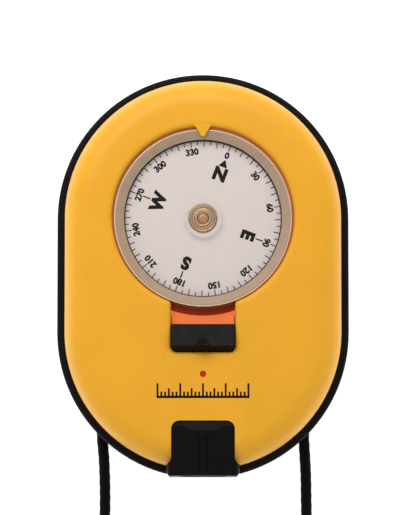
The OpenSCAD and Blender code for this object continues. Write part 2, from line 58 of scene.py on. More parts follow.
# %% [markdown]
# ## Sizes that the looks share
# Nothing is measured twice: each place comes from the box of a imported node. The case is two half
# circles joined by straight sides, so its width and its length give both the radius of the ends and
# the length of the straight part. The eyepiece is cut into its near end, so the length is taken as
# twice the reach of its far end. Only fits, roundings and what the model leaves out are new numbers.

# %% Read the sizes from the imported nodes


def box_mm(node):
    """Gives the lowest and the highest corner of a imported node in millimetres."""
    low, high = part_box(node)
    return np.array(low) / MM, np.array(high) / MM


case_low, case_high = box_mm("lower_shell")
cover_low, cover_high = box_mm("upper_shell")
dome_low, dome_high = box_mm("capsule_dome")
card_low, card_high = box_mm("compass_card")
block_low, block_high = box_mm("sight_block")
hood_low, hood_high = box_mm("eyepiece_hood")
coil_low, coil_high = box_mm("lanyard_coil")

case_l = 2 * case_high[1]
case_w = case_high[0] - case_low[0]
half_straight = (case_l - case_w) / 2
cover_r = cover_high[0]
cover_foot = cover_low[2]
top_z = cover_high[2]
capsule_y = (dome_low[1] + dome_high[1]) / 2
capsule_r = dome_high[0]
capsule_top = dome_high[2]
card_face_z = card_high[2]
print(f"case {case_w:.1f} x {case_l:.1f} mm, cover radius {cover_r:.1f}, capsule radius {capsule_r:.1f}")

# %% [markdown]
# ## The camera
# The compass lies on a table and is seen from almost straight above, a few degrees from the side of
# the eyepiece. A long lens keeps the round ends round. The camera looks at a point on the case, and
# the lens follows from the height of the field that it has to see at that distance.

# %% Place the camera
look_at = np.array([0.27, 4.96, 9.0])
camera_distance = 900.0
camera_elevation = math.radians(85.0)
field_height = 138.03
sensor = 36.0

camera_data = bpy.data.cameras.new("camera")
camera = bpy.data.objects.new("camera", camera_data)
bpy.context.scene.collection.objects.link(camera)
bpy.context.scene.camera = camera
camera_data.sensor_width = sensor
camera_data.lens = sensor * camera_distance / field_height
toward = np.array([0.0, -math.cos(camera_elevation), math.sin(camera_elevation)])
camera.location = (look_at + camera_distance * toward) * MM
camera.rotation_euler = (math.pi / 2 - camera_elevation, 0, 0)
print(f"lens {camera_data.lens:.1f} mm at {camera_distance:.0f} mm")

# %% [markdown]
# ## Grids of points
# Nearly every moulded or turned surface can be written as a grid: one number runs around the piece
# and the other runs across its section. The helpers here turn such a grid into a closed mesh. The
# quads come from whole index arrays, so a surface of thirty thousand faces takes no loop at all.

# %% Turn a grid into a mesh


def grid_quads(rows, columns, rows_wrap):
    """Joins each grid point to its neighbours: point (i, j) with i + 1 and j + 1, counted round."""
    i = np.arange(rows if rows_wrap else rows - 1)[:, None]
    j = np.arange(columns)[None, :]
    i2 = (i + 1) % rows
    j2 = (j + 1) % columns
    corners = [i * columns + j, i * columns + j2, i2 * columns + j2, i2 * columns + j]
    return np.stack(np.broadcast_arrays(*corners), axis=-1).reshape(-1, 4)


def fill_mesh(name, points, faces, merge=True):
    """Makes an object from points in millimetres, merges doubled points and turns faces outward."""
    mesh = bpy.data.meshes.new(name)
    mesh.from_pydata((np.asarray(points, float) * MM).tolist(), [], [list(f) for f in faces])
    if merge:
        sheet = bmesh.new()
        sheet.from_mesh(mesh)
        bmesh.ops.remove_doubles(sheet, verts=sheet.verts, dist=1e-7)
        bmesh.ops.recalc_face_normals(sheet, faces=sheet.faces)
        sheet.to_mesh(mesh)
        sheet.free()
    piece = bpy.data.objects.new(name, mesh)
    bpy.context.scene.collection.objects.link(piece)
    return piece


def grid_piece(name, grid, rows_wrap=False, caps=True):
    """Makes a closed piece from a grid of points (rows, columns, 3) whose columns run round it.
    Unless the rows wrap too, the first and the last row are each closed with a flat face."""
    rows, columns = grid.shape[:2]
    faces = grid_quads(rows, columns, rows_wrap).tolist()
    if caps and not rows_wrap:
        faces.append(list(range(columns)))
        faces.append(list(range((rows - 1) * columns, rows * columns)))
    return fill_mesh(name, grid.reshape(-1, 3), faces)


def rounded(corners, steps=6):
    """Rounds the corners of a profile. A corner is (radius, height, rounding). The curve starts and
    ends at the rounding over the tangent of half the corner's angle, and is the parabola whose
    control point is the corner. A corner with no rounding stays as it is."""
    places = np.array([corner[:2] for corner in corners], float)
    sizes = [corner[2] for corner in corners]
    previous, following = np.roll(places, 1, axis=0), np.roll(places, -1, axis=0)
    t = np.linspace(0, 1, steps)[:, None]
    rows = []
    for here, before, after, size in zip(places, previous, following, sizes):
        if size == 0:
            rows.append(here[None])
            continue
        back = (before - here) / np.linalg.norm(before - here)
        ahead = (after - here) / np.linalg.norm(after - here)
        reach = size / math.tan(math.acos(float(np.clip(back @ ahead, -1, 1))) / 2)
        start, end = here + reach * back, here + reach * ahead
        rows.append((1 - t) ** 2 * start + 2 * t * (1 - t) * here + t**2 * end)
    return np.concatenate(rows)


def turned(name, profile, centre=(0, 0), columns=192):
    """Turns a profile of (radius, height) points around an upright axis: point (i, j) stands at
    height i, at radius i times the cosine and the sine of turn j. A profile that starts and ends
    on the axis closes in two poles, and any other profile closes upon itself."""
    profile = np.asarray(profile, float)
    turn = np.linspace(0, 2 * np.pi, columns, endpoint=False)
    x = centre[0] + profile[:, :1] * np.cos(turn)
    y = centre[1] + profile[:, :1] * np.sin(turn)
    grid = np.stack([x, y, np.broadcast_to(profile[:, 1:], x.shape)], axis=-1)
    return grid_piece(name, grid, rows_wrap=profile[0, 0] > 0, caps=False)


def soften(piece, angle=35):
    """Shades a piece smoothly and keeps the edges that turn more than the given angle."""
    piece.data.shade_smooth()
    piece.data.set_sharp_from_angle(angle=math.radians(angle))
    return piece


def settle(piece, body, material, replaces=()):
    """Gives a finished piece its material, its body and the nodes that it stands for.
    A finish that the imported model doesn't have, such as red ink, has no slot."""
    piece.data.materials.clear()
    piece.data.materials.append(material)
    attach(piece, body)
    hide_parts(*replaces)
    print(piece.name, "has", len(piece.data.polygons), "faces")
    return piece


# %% [markdown]
# ## Finishes
# A finish is a small node tree around one shader. Whatever is the same all over the surface sits on
# the shader's own sockets. What varies comes from noise on object coordinates: a slow noise shifts
# the colour a little, as moulded plastic does, and a fine noise drives a bump for the grain of the
# mould. One function builds them all, and each finish below only names its own numbers.

# %% Build a finish from its numbers


def finish(name, colour, roughness, tone=None, grain=None, haze=None, **sockets):
    """Makes a material. tone is (size, share): noise of that size mixes in that share of shade.
    grain is (size, depth): noise of that size raises the surface by that depth.
    haze is (size, spread): noise of that size moves the roughness by that much."""
    material = bpy.data.materials.new(name)
    material.use_nodes = True
    tree = material.node_tree
    shader = tree.nodes["Principled BSDF"]
    shader.inputs["Base Color"].default_value = (*colour, 1)
    shader.inputs["Roughness"].default_value = roughness
    for socket, value in sockets.items():
        shader.inputs[socket.replace("_", " ")].default_value = value
    place = tree.nodes.new("ShaderNodeTexCoord").outputs["Object"] if tone or grain or haze else None

    def noise(size, detail):
        """A noise whose blotches have the size in millimetres."""
        texture = tree.nodes.new("ShaderNodeTexNoise")
        texture.inputs["Scale"].default_value = 1 / (size * MM)
        texture.inputs["Detail"].default_value = detail
        tree.links.new(place, texture.inputs["Vector"])
        return texture.outputs["Fac"]

    def spread(value, low, high):
        """Stretches the middle of a noise, where nearly all of it lies, from low to high."""
        reach = tree.nodes.new("ShaderNodeMapRange")
        reach.inputs["From Min"].default_value = 0.3
        reach.inputs["From Max"].default_value = 0.7
        reach.inputs["To Min"].default_value = low
        reach.inputs["To Max"].default_value = high
        tree.links.new(value, reach.inputs["Value"])
        return reach.outputs["Result"]

    if tone:
        size, share = tone
        mix = tree.nodes.new("ShaderNodeMix")
        mix.data_type = "RGBA"
        darker, lighter = mix.inputs[6], mix.inputs[7]
        darker.default_value = (*[c * (1 - share) for c in colour], 1)
        lighter.default_value = (*[min(1, c * (1 + share)) for c in colour], 1)
        tree.links.new(spread(noise(size, 3), 0, 1), mix.inputs["Factor"])
        tree.links.new(mix.outputs[2], shader.inputs["Base Color"])
    if haze:
        size, reach = haze
        patchy = spread(noise(size, 2), roughness - reach, roughness + reach)
        tree.links.new(patchy, shader.inputs["Roughness"])
    if grain:
        size, depth = grain
        bump = tree.nodes.new("ShaderNodeBump")
        bump.inputs["Distance"].default_value = depth * MM
        tree.links.new(noise(size, 2), bump.inputs["Height"])
        tree.links.new(bump.outputs["Normal"], shader.inputs["Normal"])
    return material


cord_black = finish("cord_black", (0.003, 0.003, 0.0032), 0.8, tone=(0.5, 0.5), grain=(0.18, 0.05),
                    Sheen_Weight=0.03, Sheen_Roughness=0.5, Specular_IOR_Level=0.08)
tie_black = finish("tie_black", (0.016, 0.016, 0.017), 0.9, tone=(0.6, 0.4), grain=(0.3, 0.12),
                   Sheen_Weight=0.2, Specular_IOR_Level=0.2)
print("cord finishes ready")

# %% [markdown]
# ## The neck cord
# The compass hangs from a braided cord of about a metre. Both ends run into the case and are held
# there by knots, so the cord leaves the case twice and nothing hangs at its end. The part of the cord
# that is not in use is wound into a flat coil of two layers and held by a band. The two legs are
# listed points, the coil is a formula, and one smooth line runs through all of them.

# %% Work out the route of the cord
cord_d = 2.9
tie_t = coil_low[2]
left_leg = [[-27, -33, 5], [-27, -38, 5], [-27, -43, 5], [-26.6, -48, 4], [-26.4, -53, 2.2],
            [-26.3, -59, 1.5], [-26.3, -66, 1.5], [-26, -72, 1.5], [-24.8, -78, 1.5], [-22.8, -84, 1.7]]
right_leg = [[27, -33, 5], [27, -38, 5], [27, -43, 5], [27.3, -48, 4], [27.6, -53, 2.2],
             [27.7, -59, 1.5], [27.7, -66, 1.5], [27, -72, 1.6], [25, -78, 2.4], [22.8, -84, 3.9]]
coil_centre = (coil_low[:2] + coil_high[:2]) / 2
coil_out_r = coil_high[0] - cord_d / 2
coil_turns = 4.25


def coil_route(points_per_turn=24, ease=20.0):
    """Winds in for coil_turns and out again for as many. The radius is the inner radius plus one
    diameter for each turn away from the turning point, and the height goes up by one diameter
    over the full turn around that point, so the outer layer lies on the inner one."""
    inner_r = coil_out_r - coil_turns * cord_d
    away = np.linspace(-360 * coil_turns, 360 * coil_turns, int(2 * coil_turns * points_per_turn) + 1)
    angle = np.radians(away + 180 + 360 * coil_turns)
    radius = inner_r + cord_d / 360 * np.hypot(away, ease)
    climb = (1 + np.sin(np.pi / 2 * np.clip(away / 180, -1, 1))) / 2
    height = tie_t + cord_d / 2 + cord_d * climb
    x = coil_centre[0] + radius * np.cos(angle)
    y = coil_centre[1] + radius * np.sin(angle)
    return np.stack([x, y, height], axis=1)


def smooth_route(points, spacing):
    """Runs one smooth line through the points. Between two of them it is a cubic whose end slopes
    come from the neighbouring points, and it is sampled at an even spacing."""
    s = np.concatenate([[0], np.cumsum(np.linalg.norm(np.diff(points, axis=0), axis=1))])
    slope = np.gradient(points, s, axis=0)
    at = np.linspace(0, s[-1], int(s[-1] / spacing) + 1)
    i = np.clip(np.searchsorted(s, at, side="right") - 1, 0, len(s) - 2)
    h = (s[i + 1] - s[i])[:, None]
    t = (at - s[i])[:, None] / h
    start = (2 * t**3 - 3 * t**2 + 1) * points[i] + (t**3 - 2 * t**2 + t) * h * slope[i]
    end = (3 * t**2 - 2 * t**3) * points[i + 1] + (t**3 - t**2) * h * slope[i + 1]
    return start + end


cord_points = np.concatenate([left_leg, coil_route(), right_leg[::-1]])
cord_line = smooth_route(cord_points, 0.45)
cord_length = np.linalg.norm(np.diff(cord_line, axis=0), axis=1).sum()
print(f"the cord is {cord_length:.0f} mm long")

# %% [markdown]
# The cord could be a curve with a round bevel, but a braid has relief: two families of strands wind
# round the core in opposite directions. So it is a tube whose radius swells where a strand lies.

# %% Braid the cord


def braided_tube(name, line, diameter, around=24, strands=5, relief=0.16, twist=1.3):
    """Sweeps a ring along the line. Each ring stands square to the line, on a side vector level
    with the table and an up vector square to both. A strand turns by the twist, in radians, over
    one diameter of length. The radius is half the diameter plus the relief times how far the
    higher of two families of strands, which run in opposite directions, is above its middle."""
    middle_ridge = 0.8
    along = np.gradient(line, axis=0)
    along /= np.linalg.norm(along, axis=1, keepdims=True)
    side = np.cross(along, [0, 0, 1])
    side /= np.linalg.norm(side, axis=1, keepdims=True)
    up = np.cross(side, along)
    step = np.linalg.norm(np.diff(line, axis=0), axis=1)
    s = np.concatenate([[0], np.cumsum(step)])[:, None]
    turn = np.linspace(0, 2 * np.pi, around, endpoint=False)[None, :]
    lead = strands * twist * s / diameter
    one_way = np.abs(np.cos((strands * turn + lead) / 2))
    other_way = np.abs(np.cos((strands * turn - lead) / 2))
    ridge = np.maximum(one_way, other_way)
    radius = (diameter / 2 + relief * (ridge - middle_ridge))[..., None]
    ring = np.cos(turn)[..., None] * side[:, None] + np.sin(turn)[..., None] * up[:, None]
    return grid_piece(name, line[:, None] + radius * ring)


neck_cord = soften(braided_tube("neck_cord", cord_line, cord_d), 80)
settle(neck_cord, "case", cord_black, ["lanyard_left", "lanyard_right", "lanyard_coil"])

# %% [markdown]
# ## Light and table
# Plain studio light: an even white room, and one soft warm lamp close above the far end of the
# compass, a little to the left. Because it is close, the far end is lit more than the near end. The
# table is pale and glows, as a light table does, so the dark edge of the case stands against clean
# white. The plain display transform keeps the yellow pure.

# %% Set up the light and the table
bpy.context.scene.view_settings.view_transform = "Standard"
room = bpy.data.worlds.new("room")
bpy.context.scene.world = room
room.use_nodes = True
room.node_tree.nodes["Background"].inputs["Color"].default_value = (1, 1, 1, 1)
room.node_tree.nodes["Background"].inputs["Strength"].default_value = 0.6

lamp_data = bpy.data.lights.new("soft_lamp", "AREA")
lamp_data.shape = "RECTANGLE"
lamp_data.size = 0.5
lamp_data.size_y = 0.3
lamp_data.energy = 1.5
lamp_data.color = (1.0, 0.85, 0.8)
lamp = bpy.data.objects.new("soft_lamp", lamp_data)
bpy.context.scene.collection.objects.link(lamp)
lamp.location = (-0.1, 0.34, 0.4)
lamp.rotation_euler = (math.radians(-38), 0, math.radians(14))

table_white = finish("table_white", (0.9, 0.9, 0.9), 0.9, tone=(40, 0.01),
                     Emission_Color=(1, 1, 1, 1), Emission_Strength=0.8)
table_half = 1500
table_z = -0.05
table_corners = [(-1, -1), (1, -1), (1, 1), (-1, 1)]
table_points = [[x * table_half, y * table_half, table_z] for x, y in table_corners]
table = fill_mesh("table", table_points, [[0, 1, 2, 3]], merge=False)
table.data.materials.append(table_white)
print("light and table ready")

# %% [markdown]
# ## Plastics, glass and metals
# The cover is a warm yellow satin plastic. The lower shell, the hood and the sighting block are black
# plastic with the dull, even grain of a spark-eroded mould. The capsule and the lenses are clear
# acrylic, the light ring is orange acrylic with a painted glow, an even emission that brightens it
# all over, and the hub is turned brass.

# %% Mix the finishes
yellow_plastic = finish("yellow_plastic", (0.9, 0.445, 0.015), 0.4, tone=(14, 0.03), grain=(0.35, 0.006),
                        haze=(6, 0.04), Specular_IOR_Level=0.38)
black_plastic = finish("black_plastic", (0.005, 0.005, 0.0055), 0.5, tone=(9, 0.2), grain=(0.22, 0.02),
                       haze=(4, 0.05), Specular_IOR_Level=0.1)
hood_plastic = finish("hood_plastic", (0.0035, 0.0035, 0.004), 0.36, tone=(7, 0.2), grain=(0.3, 0.015),
                      haze=(3, 0.05), Specular_IOR_Level=0.09)
clear_acrylic = finish("clear_acrylic", (0.06, 0.06, 0.055), 0.05, Alpha=0.06, Coat_Weight=0.6)
clear_lens = finish("clear_lens", (0.85, 0.9, 0.93), 0.03, Alpha=0.25, Coat_Weight=0.5)
# The guard ring's pale colour is a painted highlight, the shine of the lid's clear boss.
pale_acrylic_painted_highlight = finish("pale_acrylic_painted_highlight", (0.97, 0.9, 0.84), 0.15, Alpha=0.5)
# The cream lid edge is a painted highlight, the shine of the clear capsule's rounded edge.
cream_edge_painted_highlight = finish("cream_edge_painted_highlight", (0.92, 0.72, 0.54), 0.3, tone=(4, 0.06), grain=(0.5, 0.004))
# The light ring's emission is a painted glow: it brightens the orange acrylic as if it gave light of its
# own.
orange_acrylic = finish("orange_acrylic", (0.9, 0.2, 0.04), 0.22, tone=(5, 0.05), haze=(3, 0.04),
                        Emission_Color=(0.9, 0.2, 0.04, 1), Emission_Strength=0.3)
# The gasket's dark red is partly its own colour and partly painted shade, the capsule's shadow on the light
# ring.
gasket_red_and_painted_shade = finish("gasket_red_and_painted_shade", (0.4, 0.036, 0.008), 0.55, tone=(3, 0.15), grain=(0.3, 0.01),
                    Specular_IOR_Level=0.1)
# A darker copy of the light ring's orange: painted shade for the ring's wall in the narrow gap.
orange_painted_shade = finish("orange_painted_shade", (0.5, 0.15, 0.025), 0.35, tone=(5, 0.08), haze=(3, 0.04))
card_white = finish("card_white", (0.92, 0.86, 0.82), 0.55, tone=(2.5, 0.02), grain=(0.4, 0.004))
seal_rubber = finish("seal_rubber", (0.02, 0.02, 0.02), 0.75, tone=(4, 0.2), grain=(0.3, 0.02))
plug_white = finish("plug_white", (0.7, 0.68, 0.64), 0.5, tone=(1, 0.04), grain=(0.2, 0.005))
screw_steel = finish("screw_steel", (0.5, 0.5, 0.51), 0.32, tone=(1.5, 0.08), haze=(0.8, 0.06),
                     Metallic=1.0)
needle_steel = finish("needle_steel", (0.62, 0.62, 0.63), 0.18, tone=(0.6, 0.04), haze=(0.4, 0.04),
                      Metallic=1.0)
turned_brass = finish("turned_brass", (0.83, 0.6, 0.31), 0.22, tone=(0.9, 0.1), haze=(0.5, 0.05),
                      Metallic=1.0)
hub_brass = finish("hub_brass", (0.83, 0.6, 0.31), 0.16, Metallic=0.85)
amber_jewel = finish("amber_jewel", (0.62, 0.3, 0.13), 0.12, tone=(0.5, 0.15), haze=(0.4, 0.02),
                     Coat_Weight=0.6)
ground_magnet = finish("ground_magnet", (0.13, 0.13, 0.14), 0.4, tone=(1.2, 0.15), grain=(0.3, 0.01),
                       Metallic=0.8)
black_ink = finish("black_ink", (0.008, 0.007, 0.007), 0.6, tone=(0.7, 0.2), haze=(0.5, 0.04),
                   Specular_IOR_Level=0.1)
red_ink = finish("red_ink", (0.5, 0.022, 0.006), 0.6, tone=(0.8, 0.08), haze=(0.5, 0.04),
                 Specular_IOR_Level=0.2)
ring_taupe = finish("ring_taupe", (0.475, 0.35, 0.233), 0.5, tone=(3, 0.05), grain=(0.4, 0.004))

# In this table the light ring's finish carries a painted glow.
carried_over = {
    "lower_shell": black_plastic, "case_seal": seal_rubber, "case_screws": screw_steel,
    "light_ring": orange_acrylic, "capsule_gasket": gasket_red_and_painted_shade, "capsule_cup": clear_acrylic,
    "capsule_cushion": seal_rubber, "fill_plug": plug_white, "pivot_needle": needle_steel,
    "reading_lens": clear_lens, "index_hair": black_ink, "sight_tunnel": black_plastic,
    "eye_lens": clear_lens, "lens_retainer": black_plastic, "magnet_yoke": turned_brass,
    "dip_magnet": ground_magnet, "magnet_trunnions": needle_steel, "lanyard_knots": cord_black,
    "coil_tie": tie_black,
}
for node_name, material in carried_over.items():
    node_object = nodes[node_name]
    if not node_object.material_slots:
        node_object.data.materials.append(material)
    for slot in node_object.material_slots:
        slot.material = material
print(len(carried_over), "nodes keep their shape and get a finish")

# %% [markdown]
# The hub is turned in steps. Its rings of colour are partly oxide darkened in its grooves and partly
# painted: bright rings are painted highlights and dark rings painted reflection, the shine of polished
# brass. Its colour depends only on the distance from the axis: a Mapping node puts the capsule's axis
# at zero and flattens the height, a length turns the place into a radius, and a ramp gives each step
# and groove its tone. A noise bends the radius a little, so that the rings look uneven and not printed.

# %% Ring the hub's brass
hub_reach = 4.0
hub_wobble = 0.14
# Radius and colour of each ring: oxide in the grooves, painted highlights and painted reflection.
hub_oxide_and_painted_sheen = [
    (0.0, (0.8, 0.42, 0.2)), (1.3, (0.78, 0.42, 0.2)), (1.5, (0.2, 0.09, 0.03)), (1.7, (0.95, 0.68, 0.4)),
    (2.1, (0.9, 0.62, 0.33)), (2.3, (0.1, 0.045, 0.015)), (2.5, (1.0, 0.85, 0.6)), (2.95, (0.5, 0.3, 0.13)),
    (3.2, (0.9, 0.68, 0.42)), (3.5, (0.62, 0.4, 0.2)), (3.66, (0.09, 0.05, 0.025)),
]
hub_tree = hub_brass.node_tree


def hub_vector(operation, first, second=None):
    """Adds a vector step after the first output, with an optional fixed second vector."""
    step = hub_tree.nodes.new("ShaderNodeVectorMath")
    step.operation = operation
    hub_tree.links.new(first, step.inputs[0])
    if second:
        step.inputs[1].default_value = second
    return step


hub_place = hub_tree.nodes.new("ShaderNodeTexCoord")
hub_map = hub_tree.nodes.new("ShaderNodeMapping")
hub_map.inputs["Location"].default_value = (0, -capsule_y / hub_reach, 0)
hub_map.inputs["Scale"].default_value = (1 / (hub_reach * MM), 1 / (hub_reach * MM), 0)
hub_tree.links.new(hub_place.outputs["Object"], hub_map.inputs["Vector"])
hub_noise = hub_tree.nodes.new("ShaderNodeTexNoise")
hub_noise.inputs["Scale"].default_value = 1.1
hub_tree.links.new(hub_map.outputs["Vector"], hub_noise.inputs["Vector"])
hub_middle = hub_vector("SUBTRACT", hub_map.outputs["Vector"], (hub_wobble / 2, hub_wobble / 2, 0))
hub_bend = hub_vector("MULTIPLY_ADD", hub_noise.outputs["Color"], (hub_wobble, hub_wobble, 0))
hub_tree.links.new(hub_middle.outputs["Vector"], hub_bend.inputs[2])
hub_radius = hub_vector("LENGTH", hub_bend.outputs["Vector"])
hub_ramp = hub_tree.nodes.new("ShaderNodeValToRGB")
hub_tree.links.new(hub_radius.outputs["Value"], hub_ramp.inputs["Fac"])
hub_tree.links.new(hub_ramp.outputs["Color"], hub_tree.nodes["Principled BSDF"].inputs["Base Color"])
stops = hub_ramp.color_ramp.elements
for stop, (radius, colour) in zip([stops[0], stops[1]] + [None] * len(hub_oxide_and_painted_sheen), hub_oxide_and_painted_sheen):
    stop = stop or stops.new(1.0)
    stop.position = radius / hub_reach
    stop.color = (*colour, 1)
print(len(hub_oxide_and_painted_sheen), "rings on the hub")

# %% [markdown]
# ## The yellow cover
# The cover is one moulded shell: a flat face with a soft shoulder all round, a round opening that
# runs into the slot for the sighting block, and a notch at the near end for the eyepiece. Cutting
# these holes with booleans leaves knife-sharp edges, and no real moulding has those. So the face is
# a grid of lines that run from the edge of the opening to the outer edge. Both edges are drawn first,
# for the right half only, as pairs of stretches with the same number of points. The lines beside the
# notch lean out so that they pass its corner.

# %% Draw the edges of the cover


def arc(x, y, r, start, end, count):
    """Points on a circle from the start angle towards the end angle, in degrees, without the last."""
    angle = np.radians(np.linspace(start, end, count, endpoint=False))
    return np.stack([x + r * np.cos(angle), y + r * np.sin(angle)], axis=1)


def line(start, end, count):
    """Points on a straight line from the start towards the end, without the last."""
    t = np.linspace(0, 1, count, endpoint=False)[:, None]
    return np.array(start) * (1 - t) + np.array(end) * t


air_gap = 0.2
opening_r = capsule_r + 0.5
opening_y = capsule_y + 0.25
slot_half = block_high[0] + air_gap
slot_rear = block_low[1] - air_gap
slot_corner = 1.4
slot_fillet = 0.9
notch_half = 8.2 + air_gap
notch_foot = hood_high[0] + air_gap
notch_front = hood_high[1] + air_gap
notch_step = hood_low[1] + 2.8 + air_gap
notch_corner = 2.2
flare_r = 2.4
flare_x = notch_half + flare_r
flare_y = notch_step + math.sqrt(flare_r**2 - (flare_x - notch_foot) ** 2)
# Where on the slot's side the lines to the notch's foot, to its flare and to its straight side start
foot_lines, flare_lines, side_lines = -16.0, -16.2, -17.6
# How far a line beside the notch leans out at its middle
lean = 6

fillet_x = slot_half + slot_fillet
fillet_y = opening_y - math.sqrt((opening_r + slot_fillet) ** 2 - fillet_x**2)
fillet_turn = math.degrees(math.atan2(fillet_y - opening_y, fillet_x))
notch_turn = -math.degrees(math.acos(notch_foot / cover_r))
notch_mouth = -half_straight + cover_r * math.sin(math.radians(notch_turn))
flare_turn = 180 + math.degrees(math.atan2(flare_y - notch_step, flare_x - notch_foot))


def opening(start, end, count):
    """Part of the opening's round edge."""
    return arc(0, opening_y, opening_r, start, end, count)


def near_end(start, end, count):
    """Part of the round near end of the cover."""
    return arc(0, -half_straight, cover_r, start, end, count)


def slot_side(start, end, count):
    """Part of the slot's straight side."""
    return line((slot_half, start), (slot_half, end), count)


def corner(half, y, r, start, end, count):
    """A round corner that ends on the side at half the width, with its centre level with y."""
    return arc(half - r, y, r, start, end, count)


pairs = [
    (opening(90, 10, 80), arc(0, half_straight, cover_r, 90, 0, 80), 0, 0),
    (opening(10, -35, 44), line((cover_r, half_straight), (cover_r, -half_straight), 44), 0, 0),
    (opening(-35, fillet_turn, 34), near_end(0, -40, 34), 0, 0),
    (arc(fillet_x, fillet_y, slot_fillet, 180 + fillet_turn, 180, 10), near_end(-40, -50, 10), 0, 0),
    (slot_side(fillet_y, foot_lines, 34), near_end(-50, notch_turn, 34), 0, lean),
    (slot_side(foot_lines, flare_lines, 4),
     line((notch_foot, notch_mouth), (notch_foot, notch_step), 4), lean, lean),
    (slot_side(flare_lines, side_lines, 16),
     arc(flare_x, flare_y, flare_r, flare_turn, 180, 16), lean, lean),
    (slot_side(side_lines, slot_rear + slot_corner, 26),
     line((notch_half, flare_y), (notch_half, notch_front - notch_corner), 26), lean, lean / 2),
    (corner(slot_half, slot_rear + slot_corner, slot_corner, 0, -90, 12),
     corner(notch_half, notch_front - notch_corner, notch_corner, 0, 90, 12), lean / 2, 0),
    (line((slot_half - slot_corner, slot_rear), (0, slot_rear), 12),
     line((notch_half - notch_corner, notch_front), (0, notch_front), 12), 0, 0),
]
first_notch_pair = 5
inner_half = np.concatenate([p[0] for p in pairs])
outer_half = np.concatenate([p[1] for p in pairs])
bulge_half = np.concatenate([np.linspace(p[2], p[3], len(p[0])) for p in pairs])
on_notch_half = np.concatenate([np.full(len(p[0]), i >= first_notch_pair) for i, p in enumerate(pairs)])


def both_sides(half, middle=None, flip=True):
    """Adds the left half to the right half, with the middle point of the near end between them.
    Places are mirrored with flip, and plain numbers are only reversed."""
    left = half[:0:-1] * (np.array([-1, 1]) if flip else 1)
    return np.concatenate([half, middle, left])


inner_edge = both_sides(inner_half, [[0, slot_rear]])
outer_edge = both_sides(outer_half, [[0, notch_front]])
bulge = both_sides(bulge_half, [0], flip=False) * np.sign(inner_edge[:, 0])
on_notch = both_sides(on_notch_half, [True], flip=False)
print("the cover has", len(inner_edge), "lines across its face")

# %% [markdown]
# Each point's height is worked out from its true distances: the shoulder from the distance to the
# outer edge, and a small round lip from the distance to the opening and to the notch. Rows of points
# stand closer where the surface turns fast. The underside follows in the same way one wall further
# in, and a collar around the opening reaches down to the light ring, which closes the shell.

# %% Raise the cover's surface


def depth_from_side(x, y):
    """Distance in from the outer edge: the end radius less the distance to the case's middle line."""
    return cover_r - np.hypot(x, np.maximum(np.abs(y) - half_straight, 0))


def nearest(points, edge):
    """Distance from each point to the nearest point of an edge, over the segments between them."""
    segment = np.roll(edge, -1, axis=0) - edge
    reach = points.reshape(-1, 1, 2) - edge
    t = np.clip((reach * segment).sum(-1) / np.maximum((segment**2).sum(-1), 1e-12), 0, 1)
    return np.linalg.norm(reach - t[..., None] * segment, axis=-1).min(1).reshape(points.shape[:-1])


def lip(distance, r):
    """Drop of a rounded edge: r less the height of a circle of radius r at that distance in."""
    inside = np.clip(r - distance, 0, r)
    return r - np.sqrt(r**2 - inside**2)


def across(t):
    """Points at share t along each line from the opening to the outer edge, a curve that leans
    out by the bulge so that it passes beside the notch."""
    middle = (inner_edge + outer_edge) / 2 + np.stack([bulge, 0 * bulge], axis=1)
    t = t[..., None]
    return (1 - t) ** 2 * inner_edge + 2 * t * (1 - t) * middle + t**2 * outer_edge


span = np.linalg.norm(outer_edge - inner_edge, axis=1)
shoulder_r = 7.0
cover_wall = 2.2
cover_plate = 2.0
opening_lip = 1.2
notch_lip = 0.4
collar_w = 2.0
collar_foot = box_mm("light_ring")[1][2] + 0.05

lip_rows = np.array([0, 0.03, 0.09, 0.18, 0.3, 0.45, 0.63, 0.85, 1.2, 1.8])[:, None]
shoulder_turns = np.radians([90, 82, 75, 68, 61, 54, 47, 40, 34, 28, 22, 17, 12, 8, 4, 0])[:, None]
shoulder_rows = shoulder_r * (1 - np.cos(shoulder_turns))
middle_row = np.full((1, len(span)), 0.3)
top_t = np.concatenate([lip_rows / span, middle_row, 1 - shoulder_rows / span])
top_t = np.maximum.accumulate(top_t, axis=0)
top_xy = across(top_t)
shoulder = lip(depth_from_side(top_xy[..., 0], top_xy[..., 1]), shoulder_r)
notch_points = outer_edge[on_notch]
to_opening = nearest(top_xy, inner_edge)
to_notch = np.linalg.norm(top_xy[:, :, None] - notch_points, axis=-1).min(-1)
top_height = top_z - shoulder - lip(to_opening, opening_lip) - lip(to_notch, notch_lip)

under_depth = np.array([0, 0.5, 1.1, 1.8, 2.6, 3.5, 4.5, 5.4])[:, None]
under_t = 1 - (under_depth + np.where(on_notch, 0, cover_wall)) / span
under_t = np.maximum(under_t, (collar_w + 0.2) / span)
under_xy = across(np.concatenate([under_t, [collar_w / span]]))
side_depth = depth_from_side(under_xy[..., 0], under_xy[..., 1])
inner_r = shoulder_r - cover_plate
under_height = top_z - cover_plate - lip(side_depth - cover_wall, inner_r)
under_height = np.where(side_depth < cover_wall + 1e-6, cover_foot, under_height)


def level(xy, z):
    """Puts a height on each point of a row or of several rows."""
    return np.concatenate([xy, np.broadcast_to(z, xy.shape[:-1])[..., None]], axis=-1)


wall_foot = np.where(on_notch, under_height[0], cover_foot)
first_row = np.arange(len(under_xy))[:, None] == 0
cover_rows = np.concatenate([
    level(inner_edge, collar_foot)[None],
    level(top_xy, top_height),
    level(outer_edge, wall_foot)[None],
    level(under_xy, np.where(on_notch & first_row, wall_foot, under_height)),
    level(across(collar_w / span), collar_foot)[None],
])
yellow_cover = soften(grid_piece("yellow_cover", cover_rows, rows_wrap=True), 38)
settle(yellow_cover, "case", yellow_plastic, ["upper_shell"])

